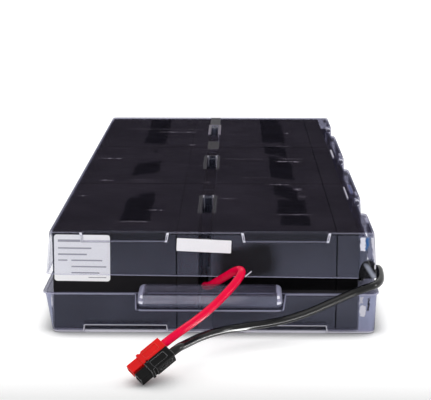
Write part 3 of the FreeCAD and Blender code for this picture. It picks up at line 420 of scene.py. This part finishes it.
def lid_marks(s):
    """Painted highlights along the trimmed edge, the front fold and the land
    ends and ledges, and round the dimples, whose centres get painted shade; the
    pocket frames with painted glints; painted glints and reflections at the
    terminal corner, with a dark wire loop; painted shade under the ledges and
    folds and over the channel; and the scratched top."""
    trim = s.plus(s.times(s.x, -0.0094), 0.0386)
    above = s.math("SUBTRACT", s.z, trim)
    # Painted highlight along the trimmed edge.
    cut = s.ramp(above, 0.0002, 0.0007, 1.0, 0.0)
    front = s.ramp(s.y, FRONT_WALL - 0.0004, FRONT_WALL, 1.0, 0.0)
    away = from_land(s)
    beside = s.ramp(away, LAND_HALF + 0.001, LAND_HALF + 0.002)
    in_land = s.ramp(away, LAND_HALF, LAND_HALF + 0.0012, 1.0, 0.0)
    # Painted highlight along the front fold.
    fold = s.times(near_value(s, s.z, 0.0669, 0.0002), front, beside)
    lean = s.plus(away, s.times(s.math("SUBTRACT", s.z, 0.0613), -0.22))
    by_label = s.times(s.ramp(s.x, -0.075, -0.070, 1.0, 0.0), s.ramp(s.z, 0.0645, 0.0650, 1.0, 0.0))
    hollow = s.times(near_value(s, lean, LAND_HALF + 0.0002, 0.0002, 0.0002),
                     s.band(s.z, 0.0622, 0.0655, 0.0003), 0.8)
    # Painted highlights on the land ends and along the ledges.
    ends = s.times(s.band(lean, LAND_HALF - 0.0006, LAND_HALF + 0.0010, 0.0002),
                   s.band(s.z, 0.0608, 0.0669, 0.0002), front, other(s, by_label),
                   other(s, hollow))
    ledge = s.times(near_value(s, s.z, 0.0613, 0.0002), in_land, front)

    top = s.ramp(s.z, 0.0670, 0.0674)
    from_channel = s.math("ABSOLUTE", s.math("SUBTRACT", s.x, CHANNEL_MIDDLE))
    frame_side = s.times(s.band(from_channel, 0.0038, 0.0064, 0.0003), top)
    frames = s.times(frame_side, either(s, s.band(s.y, -0.159, -0.106, 0.0012),
                                        s.band(s.y, -0.009, 0.048, 0.0012)))
    # Painted glints at the ends of the pocket frames and on the channel's sides.
    pocket_end_glints = s.times(s.ramp(from_channel, 0.0052, 0.0056, 1.0, 0.0), top,
                    either(s, s.band(s.y, -0.1060, -0.1040, 0.0006),
                           s.band(s.y, 0.0465, 0.0490, 0.0006)))
    glints = s.times(s.band(from_channel, 0.0024, 0.0040, 0.0003),
                     s.ramp(s.z, 0.0560, 0.0600),
                     either(s, s.band(s.y, -0.1120, -0.1035, 0.0012),
                            s.band(s.y, 0.0400, 0.0485, 0.0012)))
    patch = s.times(s.ramp(from_channel, 0.0046, 0.0050, 1.0, 0.0), s.band(s.y, 0.078, 0.114, 0.002),
                    top)
    speckle = s.ramp(s.noise(1.0, 3, 0.7, s.stretched((420, 110, 60))), 0.42, 0.62, 0.45, 1.0)
    far_patch = s.times(s.ramp(from_channel, 0.0054, 0.0058, 1.0, 0.0),
                        s.band(s.y, 0.150, 0.2030, 0.001), s.ramp(s.z, 0.0500, 0.0510), speckle)
    far_strip = s.times(s.ramp(from_channel, 0.0044, 0.0048, 1.0, 0.0), s.ramp(s.y, 0.203, 0.204),
                        s.ramp(s.z, 0.0500, 0.0510))

    # Painted highlight rings round the dimples, with painted shade at their centres.
    dimple_highlights = []
    for place in DIMPLE_PLACES:
        dx = s.math("SUBTRACT", s.x, DIMPLE_X)
        dz = s.math("SUBTRACT", s.z, DIMPLE_Z)
        radius = s.math("SQRT", s.plus(s.times(dx, dx), s.times(dz, dz)))
        dimple_highlights.append(s.times(s.band(radius, 0.0016, 0.0034, 0.0002),
                             s.band(s.y, place - 0.0035, place + 0.0025, 0.0008)))
    dimple_highlight = either(s, *dimple_highlights)
    dimple_shade = s.times(s.ramp(radius, 0.0013, 0.0016, 1.0, 0.0), s.ramp(s.y, -0.12, -0.115))
    # Painted glints on the wing's top, some softer, and a painted blue gleam.
    wing = s.ramp(s.z, 0.0470, 0.0480)
    wing_glints = s.times(wing, either(
        s, window(s, s.x, 95.4, 96.7, s.y, 42, 76, 0.0006),
        window(s, s.x, 95.0, 95.9, s.y, -113, -74, 0.0005)))
    soft_wing_glints = s.times(wing, either(
        s, window(s, s.x, 101.2, 103.2, s.y, 46, 60, 0.0008),
        window(s, s.x, 101.8, 103.4, s.y, -103, -90, 0.0008),
        window(s, s.x, 101.4, 104.0, s.y, -186, -172, 0.0010)))
    blue_gleam = s.times(wing, window(s, s.x, 98.6, 101.0, s.y, -96, -66, 0.0012))

    # Painted reflections at the terminal corner, white and blue; a dark wire loop with a painted
    # highlight along it; and a short painted glint on the front wall.
    uneven = s.times(s.math("SUBTRACT", s.noise(330, 3, 0.6), 0.5), 0.0032)
    across, up = s.plus(s.x, uneven), s.plus(s.z, s.times(uneven, 1.6))
    slope = s.times(s.math("SUBTRACT", 0.0637, s.z), 0.16)
    corner_front = s.times(front, s.ramp(s.z, 0.0640, 0.0644, 1.0, 0.0))
    left_reflection = s.times(window(s, across, 95.6, 98.9, up, 55.6, 64.8, 0.0004), corner_front)
    right_reflection = s.times(s.band(s.math("SUBTRACT", across, slope), 0.1022, 0.1052, 0.0004),
                          s.band(up, 0.0440, 0.0645, 0.0006), corner_front)
    blue_reflection = s.times(window(s, s.plus(across, s.times(slope, 0.6), s.times(uneven, 0.5)),
                           99.5, 101.2, up, 56.5, 64.6, 0.0003), corner_front)
    dx = s.math("DIVIDE", s.math("SUBTRACT", across, 0.1010), 0.0068)
    dz = s.math("DIVIDE", s.math("SUBTRACT", up, 0.0395), 0.0115)
    arch = s.times(s.ramp(s.plus(s.times(dx, dx), s.times(dz, dz)), 0.80, 1.0, 1.0, 0.0), front)
    slide = s.plus(s.math("SUBTRACT", s.x, 0.0985), s.times(s.math("SUBTRACT", s.z, 0.0475), 0.62))
    loop_highlight = s.times(s.band(slide, -0.0010, 0.0020, 0.0012), s.band(s.z, 0.0372, 0.0468, 0.0020),
                    s.ramp(s.x, 0.0970, 0.0980), front)
    edge_glint = s.times(near_value(s, s.z, s.plus(s.times(s.x, 0.84), 0.0200), 0.00025, 0.0002),
                   s.band(s.x, 0.0221, 0.0262, 0.0003), front)
    layers = (
        (far_strip, 0.50, (0.012, 0.011, 0.014)),
        (far_patch, 0.84, (0.040, 0.036, 0.043)), (patch, 0.36, (0.030, 0.026, 0.032)),
        (frames, 0.26, (0.08, 0.075, 0.092)), (pocket_end_glints, 0.32, (0.12, 0.11, 0.135)),
        (glints, 0.6, (0.45, 0.44, 0.50)), (scratches(s), 1.0, (0.80, 0.74, 0.84)),
        (fold, 0.20, PALE), (ledge, 0.24, PALE), (cut, 0.30, PALE),
        (soft_wing_glints, 0.35, PALE), (blue_gleam, 0.5, (0.03, 0.06, 0.26)),
        (wing_glints, 0.6, BRIGHT), (dimple_highlight, 0.75, BRIGHT), (dimple_shade, 0.6, (0.08, 0.075, 0.11)),
        (arch, 0.75, (0.004, 0.004, 0.006)), (loop_highlight, 0.75, (0.34, 0.36, 0.44)),
        (blue_reflection, 0.6, (0.02, 0.15, 0.42)),
        (left_reflection, 0.75, BRIGHT), (right_reflection, 0.6, BRIGHT),
        (ends, 0.85, BRIGHT), (edge_glint, 0.9, BRIGHT),
    )
    # Painted shade under the ledges and the folds, and over the channel.
    shade_under_ledge = s.times(s.band(s.z, 0.0604, 0.0610, 0.0002), in_land, front)
    shade_under_fold = s.times(s.band(s.z, 0.0654, 0.0663, 0.0002), beside, front, 0.8)
    on_top = s.ramp(s.x, -0.01, 0.01, 0.1, 0.5)
    seam = s.times(seams(s), s.math("MAXIMUM", front, on_top), 0.9)
    channel = s.times(s.band(s.x, -0.0078, 0.0002, 0.0003), front, 0.7)
    haze_gaps_and_shade = either(s, clinging(s), dark_wall(s), shade_under_ledge, shade_under_fold, seam, channel)
    open_side = s.times(s.ramp(s.x, -0.1030, -0.1020, 1.0, 0.0),
                        s.ramp(s.z, 0.0615, 0.0640, 1.0, 0.0), 0.9)
    return layers, haze_gaps_and_shade, s.ramp(s.z, 0.9, 1.0), open_side


# Where the lid's top clings to the batteries and looks darker: left, right,
# front and back of each patch in metres, and how its ends slant.
CLINGS = (
    (-0.0605, -0.0415, -0.186, -0.113, 0.0), (-0.0530, -0.0420, -0.114, -0.097, 0.5),
    (-0.0640, -0.0440, -0.027, 0.018, 0.7), (-0.0530, -0.0500, 0.062, 0.070, 0.0),
    (-0.0640, -0.0450, 0.104, 0.233, 0.0), (0.0455, 0.0650, -0.195, -0.166, 0.0),
    (0.0450, 0.0645, -0.158, -0.118, 0.0), (0.0430, 0.0600, -0.112, -0.072, -1.2),
    (0.0425, 0.0600, -0.045, 0.040, -0.8), (0.0400, 0.0580, 0.050, 0.092, -0.9),
    (0.0390, 0.0590, 0.110, 0.205, 0.0), (0.0390, 0.0560, 0.205, 0.236, 0.0),
)


def clinging(s):
    wobble = s.times(s.math("SUBTRACT", s.noise(60, 3, 0.5), 0.5), 0.006)
    across = s.plus(s.x, wobble)
    along = s.plus(s.y, s.times(wobble, 2.2))
    total = None
    for left, right, front, back, slant in CLINGS:
        tilted = along
        if slant:
            offset = s.times(s.math("SUBTRACT", s.x, (left + right) / 2), -slant)
            tilted = s.plus(along, offset)
        patch = s.times(s.band(across, left, right, 0.0005), s.band(tilted, front, back, 0.0012))
        total = patch if total is None else s.math("MAXIMUM", total, patch)
    return s.times(total, s.ramp(s.z, 0.0660, 0.0664), 0.78)


def dark_wall(s):
    """A darker stretch of the front wall, and painted shade at the backs of the
    land recesses.
    """
    wobble = s.times(s.math("SUBTRACT", s.noise(45, 3, 0.5), 0.5), 0.016)
    blot = s.times(s.band(s.plus(s.x, wobble), 0.006, 0.040, 0.006),
                   s.band(s.plus(s.z, wobble), 0.038, 0.060, 0.004),
                   s.ramp(s.y, -0.2110, -0.2105, 1.0, 0.0), 0.95)
    recess_shade = s.times(s.ramp(from_land(s), LAND_HALF, LAND_HALF + 0.0012, 1.0, 0.0),
                     s.ramp(s.z, 0.0612, 0.0616), s.ramp(s.y, -0.2095, -0.2085, 1.0, 0.0), 0.6)
    return s.math("MAXIMUM", blot, recess_shade)


dress(clear_sheet("clear_lid", lid_marks), "upper_lid")
dress(clear_sheet("clear_tray", tray_marks), "lower_tray")


def dark_case(name, tone):
    """Moulded dark plastic, worn lighter in places, with painted shade that
    darkens the front band between lid and tray to near black and dulls its gloss.
    """
    s = Shade(name)
    grain = s.noise(70, 3, 0.5)
    cloud = s.noise(14, 4, 0.55)
    light = tuple(value * 1.35 for value in tone)
    colour = s.blend(s.ramp(cloud, 0.35, 0.7), tone, light)
    rough = s.ramp(grain, 0.3, 0.7, 0.42, 0.56)
    # Painted shade on the band between lid and tray, deeper towards the right.
    shaded = s.times(s.band(s.z, 0.0285, 0.0376, 0.0006), s.ramp(s.x, -0.020, 0.016),
                     s.ramp(s.y, -0.2095, -0.2085, 1.0, 0.0))
    colour = s.blend(s.times(shaded, 0.85), colour, (0.0004, 0.0004, 0.0006))
    return s.show(s.principled(
        Base_Color=colour, Roughness=rough, Specular_IOR_Level=s.ramp(shaded, 0.0, 1.0, 0.06, 0.01),
        Normal=s.bump(grain, 0.03, 0.0003)))


case_plastic = dark_case("battery_case_plastic", (0.0085, 0.0078, 0.0092))
cover_plastic = dark_case("battery_cover_plastic", (0.0095, 0.0088, 0.0105))
strip_plastic = dark_case("vent_strip_plastic", (0.012, 0.012, 0.014))
for number in range(1, 7):
    dress(case_plastic, f"battery_{number}_case")
    dress(cover_plastic, f"battery_{number}_cover")
    dress(strip_plastic, f"battery_{number}_vent_strip")


def metal(name, tone, rough):
    s = Shade(name)
    brushed = s.noise(1.0, 3, 0.6, s.stretched((300, 300, 2600)))
    colour = s.blend(s.ramp(brushed, 0.3, 0.7), tone, tuple(value * 0.8 for value in tone))
    return s.show(s.principled(Base_Color=colour, Metallic=1.0,
                               Roughness=s.ramp(brushed, 0.3, 0.7, rough, rough + 0.15)))


tinned = metal("tinned_tab_metal", (0.80, 0.79, 0.74), 0.25)
for number in range(1, 7):
    dress(tinned, f"battery_{number}_terminals")
dress(metal("silvered_contact", (0.86, 0.86, 0.84), 0.2),
      "red_connector_contact", "black_connector_contact")
# The roll pin's steel is near black: partly black oxide, partly painted shade so that its hole reads
# dark.
dress(metal("pin_steel", (0.06, 0.06, 0.065), 0.4), "connector_roll_pin")


HOUSING_EDGE = 0.0004


def moulded(name, tone, rough, specular, edge=None, edge_sheen_and_wear=None):
    """Coloured plastic or rubber with a fine grain and slight handling wear;
    the last argument is the tone of a painted highlight along its edges, broken
    up by wear."""
    s = Shade(name)
    grain = s.noise(1400, 2, 0.6)
    wear = s.noise(90, 4, 0.6)
    worn = tuple(min(1.0, value * 1.2 + 0.001) for value in tone)
    colour = s.blend(s.ramp(wear, 0.45, 0.75), tone, worn)
    if edge_sheen_and_wear:
        # Painted highlight along the edges, broken up by wear.
        turned, _ = s.sharpness(HOUSING_EDGE)
        edge_sheen_and_wear_mask = s.ramp(turned, 0.75, 0.96, 1.0, 0.0)
        colour = s.blend(s.times(edge_sheen_and_wear_mask, s.ramp(wear, 0.3, 0.6, 0.5, 1.0)), colour, edge_sheen_and_wear)
    return s.show(s.principled(
        Base_Color=colour, Roughness=s.ramp(wear, 0.3, 0.8, rough, rough + 0.1),
        Specular_IOR_Level=specular, Normal=s.bump(grain, 0.06, 0.0001, edge)))


flag_blue = moulded("flag_nylon_blue", (0.004, 0.014, 0.075), 0.35, 0.15)
# A darker copy of the flag nylon: painted shade for the flags set deep in the channels.
flag_shaded = moulded("flag_nylon_shaded", (0.003, 0.004, 0.012), 0.35, 0.15)
for number in (3, 4, 5):
    dress(flag_blue, f"jumper_{number}_connectors")
dress(flag_shaded, "jumper_1_connectors", "jumper_2_connectors", "red_lead_terminal",
      "black_lead_terminal")
jumper_black = moulded("jumper_insulation", (0.006, 0.006, 0.0065), 0.3, 0.2)
for number in range(1, 6):
    dress(jumper_black, f"jumper_{number}")


def lead_rubber(name, tone, rough, specular, shade_from_y=None):
    """Smooth wire insulation; with a place along Y given, painted shade darkens
    it to near black beyond that place towards +Y, where the lead lies deep in the channel.
    """
    s = Shade(name)
    wear = s.noise(120, 4, 0.6)
    worn = tuple(min(1.0, value * 1.12 + 0.0005) for value in tone)
    colour = s.blend(s.ramp(wear, 0.45, 0.75), tone, worn)
    if shade_from_y:
        # Painted shade: beyond the given place the lead is darkened to near black.
        colour = s.blend(s.ramp(s.y, shade_from_y, shade_from_y + 0.0006), colour, (0.004, 0.004, 0.005))
    return s.show(s.principled(
        Base_Color=colour, Roughness=s.ramp(wear, 0.3, 0.8, rough, rough + 0.06),
        Specular_IOR_Level=specular, Normal=s.bump(s.noise(1100, 2, 0.6), 0.03, 0.0001)))


red_lead.data.materials.append(
    lead_rubber("red_insulation", (0.78, 0.0, 0.045), 0.16, 0.10, shade_from_y=-0.2085))
black_lead.data.materials.append(
    lead_rubber("black_insulation", (0.0008, 0.0008, 0.0010), 0.11, 0.30))
dress(moulded("red_housing_plastic", (0.66, 0.0, 0.0), 0.36, 0.2, edge=HOUSING_EDGE,
              edge_sheen_and_wear=(0.90, 0.16, 0.10)), "red_connector_housing")
dress(moulded("black_housing_plastic", (0.0014, 0.0014, 0.0016), 0.3, 0.10, edge=HOUSING_EDGE,
              edge_sheen_and_wear=(0.48, 0.48, 0.50)), "black_connector_housing")


# ------------------------------------------------------------------- labels

def label(name, width, height, radius, thick):
    """A thin label standing in the XZ plane, its back at y = 0."""
    mesh = bpy.data.meshes.new(name)
    build = bmesh.new()
    outline = []
    for cx, cz, start in ((width / 2 - radius, height / 2 - radius, 0),
                          (-width / 2 + radius, height / 2 - radius, 90),
                          (-width / 2 + radius, -height / 2 + radius, 180),
                          (width / 2 - radius, -height / 2 + radius, 270)):
        for step in range(7):
            turn = math.radians(start + 15 * step)
            outline.append((cx + radius * math.cos(turn), cz + radius * math.sin(turn)))
    front = [build.verts.new((x / 1000, -thick / 1000, z / 1000)) for x, z in outline]
    back = [build.verts.new((x / 1000, 0, z / 1000)) for x, z in outline]
    build.faces.new(front)
    build.faces.new(list(reversed(back)))
    count = len(outline)
    for i in range(count):
        following = (i + 1) % count
        build.faces.new((front[i], back[i], back[following], front[following]))
    bmesh.ops.recalc_face_normals(build, faces=build.faces)
    build.to_mesh(mesh)
    build.free()
    piece = bpy.data.objects.new(name, mesh)
    scene.collection.objects.link(piece)
    return piece


def label_film(name, tone, bars):
    """White film with pale generic bars, given in millimetres on the label."""
    s = Shade(name)
    fibre = s.noise(1800, 2, 0.5)
    colour = s.blend(s.ramp(fibre, 0.3, 0.7), tone, tuple(value * 0.96 for value in tone))
    shape = None
    for left, right, low, high in bars:
        mask = s.times(s.band(s.x, left / 1000, right / 1000, 0.00015),
                       s.band(s.z, low / 1000, high / 1000, 0.00015))
        shape = mask if shape is None else s.math("MAXIMUM", shape, mask)
    if shape is not None:
        colour = s.blend(shape, colour, (0.35, 0.35, 0.38))
    return s.show(s.principled(Base_Color=colour, Roughness=0.5, Specular_IOR_Level=0.3))


maker_place = label("battery_label", 36.0, 30.8, 1.8, 0.15)
maker_place.location = (-0.0828, -0.21001, 0.0494)
maker_place.rotation_euler = (0, math.radians(0.6), 0)
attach(maker_place, "root")
maker_place.data.materials.append(label_film("battery_label_film", (0.97, 0.97, 0.98), (
    (-15.5, -1.0, 10.6, 12.2), (-15.5, 6.0, 6.0, 7.0), (-15.5, 3.0, 1.9, 2.9),
    (-15.5, -9.5, -2.0, -1.1), (-7.0, 13.0, -2.0, -1.1), (-7.0, 15.5, -6.2, -5.3),
    (-7.0, 11.0, -10.3, -9.4), (4.0, 15.5, -13.2, -12.6),
)))

wall_lean = math.atan2(2.0, 30.1)
strip_place = label("lid_label", 34.9, 8.3, 0.5, 0.15)
strip_place.rotation_euler = (-wall_lean, math.radians(2.6), 0)
strip_place.location = (-0.0043, -0.21320, 0.0587)
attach(strip_place, "root")
strip_place.data.materials.append(label_film("lid_label_film", (0.90, 0.90, 0.94), ()))


# ---------------------------------------------------------- floor and lamps

def stage_floor():
    mesh = bpy.data.meshes.new("floor")
    half = 9.0
    corners = [(-half, -half, 0), (half, -half, 0), (half, half, 0), (-half, half, 0)]
    mesh.from_pydata(corners, [], [(0, 1, 2, 3)])
    floor = bpy.data.objects.new("floor", mesh)
    floor.location.z = -0.0002
    scene.collection.objects.link(floor)
    s = Shade("floor_white")
    path = s.tree.nodes.new("ShaderNodeLightPath")
    seen = either(s, path.outputs["Is Camera Ray"], path.outputs["Is Glossy Ray"],
                  path.outputs["Is Transmission Ray"])
    glow = s.tree.nodes.new("ShaderNodeEmission")
    # Painted shade: the floor's glow fades towards its front edge, and ambient occlusion paints a contact
    # shadow under the parts, in its glow and in its colour.
    front_grey = s.ramp(s.y, -0.329, -0.264, 0.18, 1.0, smooth=False)
    shade = s.tree.nodes.new("ShaderNodeAmbientOcclusion")
    shade.samples = 8
    shade.inputs["Distance"].default_value = 0.016
    contact = s.ramp(shade.outputs["AO"], 0.45, 0.92, 0.1, 1.0, smooth=False)
    s.feed(glow.inputs["Strength"], s.times(seen, front_grey, contact, 0.54))
    matt = s.tree.nodes.new("ShaderNodeBsdfDiffuse")
    s.feed(matt.inputs["Color"], s.blend(contact, (0.40, 0.40, 0.41), (0.80, 0.80, 0.80)))
    both = s.tree.nodes.new("ShaderNodeAddShader")
    s.tree.links.new(glow.outputs[0], both.inputs[0])
    s.tree.links.new(matt.outputs[0], both.inputs[1])
    mesh.materials.append(s.show(both.outputs[0]))


stage_floor()

world = bpy.data.worlds.new("studio")
world.use_nodes = True
scene.world = world
tree = world.node_tree
tree.nodes.clear()
out = tree.nodes.new("ShaderNodeOutputWorld")
path = tree.nodes.new("ShaderNodeLightPath")
seen = tree.nodes.new("ShaderNodeMath")
seen.operation = "MAXIMUM"
also = tree.nodes.new("ShaderNodeMath")
also.operation = "MAXIMUM"
tree.links.new(path.outputs["Is Camera Ray"], seen.inputs[0])
tree.links.new(path.outputs["Is Glossy Ray"], also.inputs[0])
tree.links.new(path.outputs["Is Transmission Ray"], also.inputs[1])
tree.links.new(also.outputs[0], seen.inputs[1])
lit = tree.nodes.new("ShaderNodeBackground")
lit.inputs["Color"].default_value = (1, 1, 1, 1)
lit.inputs["Strength"].default_value = 0.72
white = tree.nodes.new("ShaderNodeBackground")
white.inputs["Color"].default_value = (1, 1, 1, 1)
white.inputs["Strength"].default_value = 1.0
choose = tree.nodes.new("ShaderNodeMixShader")
tree.links.new(seen.outputs[0], choose.inputs["Fac"])
tree.links.new(lit.outputs[0], choose.inputs[1])
tree.links.new(white.outputs[0], choose.inputs[2])
tree.links.new(choose.outputs[0], out.inputs["Surface"])


def area_lamp(name, place, target, width, height, power):
    """A rectangular lamp, in metres and watts, that faces its target."""
    data = bpy.data.lights.new(name, "AREA")
    data.shape = "RECTANGLE"
    data.size = width
    data.size_y = height
    data.energy = power
    lamp = bpy.data.objects.new(name, data)
    lamp.location = place
    aim = Vector(target) - Vector(place)
    lamp.rotation_euler = aim.to_track_quat("-Z", "Y").to_euler()
    scene.collection.objects.link(lamp)
    return lamp


area_lamp("key_softbox", (-0.3, -1.3, 1.9), (0, -0.1, 0.03), 1.4, 1.0, 8)
area_lamp("front_strip", (0.1, -1.9, 0.14), (0, -0.2, 0.03), 2.4, 0.10, 6)
area_lamp("back_softbox", (0.2, 1.2, 1.7), (0, 0, 0.05), 1.4, 0.7, 6)
area_lamp("side_softbox", (1.3, -0.25, 0.26), (0, -0.2, 0.03), 0.16, 0.55, 2.2)

# Two narrow strips on the table, seen only as highlights along the black wire.
for name, start, end, power in (("strip_right", (0.046, -0.2605), (0.130, -0.2590), 0.06),
                                ("strip_left", (0.028, -0.2460), (0.046, -0.2605), 0.016)):
    length = math.hypot(end[0] - start[0], end[1] - start[1])
    place = ((start[0] + end[0]) / 2, (start[1] + end[1]) / 2, 0.001)
    strip = area_lamp(name, place, (place[0], place[1], 1), length, 0.006, power)
    strip.rotation_euler = (math.pi, 0, math.atan2(end[1] - start[1], end[0] - start[0]))
    for part in ("camera", "diffuse", "transmission", "volume_scatter"):
        setattr(strip, f"visible_{part}", False)
